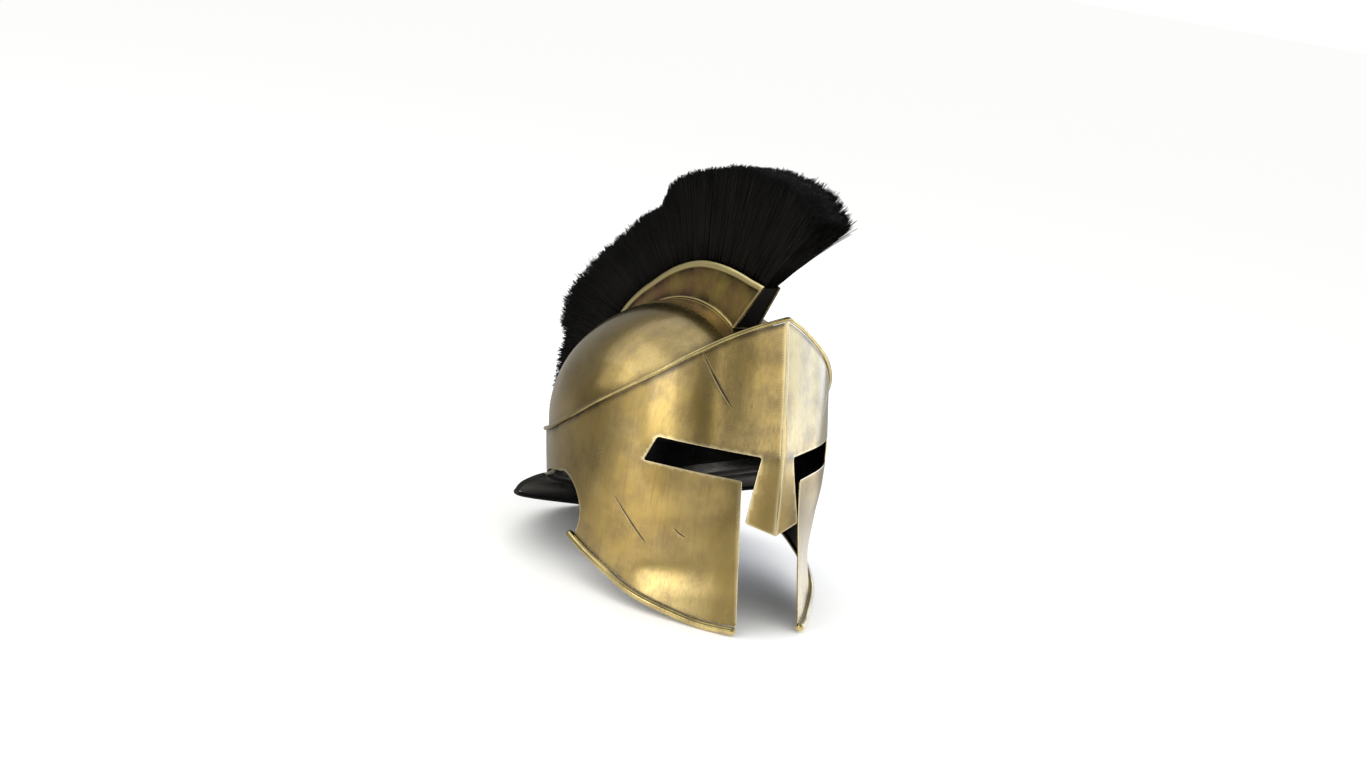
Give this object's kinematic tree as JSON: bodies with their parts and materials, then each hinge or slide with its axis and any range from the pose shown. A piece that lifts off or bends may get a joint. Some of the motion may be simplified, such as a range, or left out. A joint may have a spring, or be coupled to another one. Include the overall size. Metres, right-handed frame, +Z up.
{
  "type": "corinthian helmet",
  "caption": "Hollow brass Corinthian helmet with slanted eye slots, creased nasal guard, pointed cheeks, flared neck guard and a black bristle crest.",
  "frame": {"origin": "centre of the bounding box, at the height of its lowest points", "axes": "+Z up, -Y the way the face looks, +X the wearer's left; the helmet leans back on its cheek tips and the rim of its neck guard"},
  "size_m": [0.2348, 0.3478, 0.3235],
  "materials": {
    "shell_brass": "antique brass sheet, worn satin with darker patina",
    "bead_brass": "rolled brass edge, rubbed bright",
    "black_rim": "matt black rolled rim",
    "dark_brass": "dark patinated brass panel with a rubbed border",
    "black_bar": "black stained bar that holds the bristles",
    "black_bristle": "black horsehair or bristle, matt with faint streaks"
  },
  "bodies": {
    "root": {"skull_dome_left": "shell_brass", "skull_dome_right": "shell_brass", "face_mask": "shell_brass", "neck_guard": "shell_brass", "brow_bead": "bead_brass", "cheek_bead_left": "bead_brass", "cheek_bead_right": "bead_brass", "neck_rim": "black_rim", "crest_box": "dark_brass", "crest_core": "black_bar", "plume": "black_bristle"}
  },
  "joints": []
}
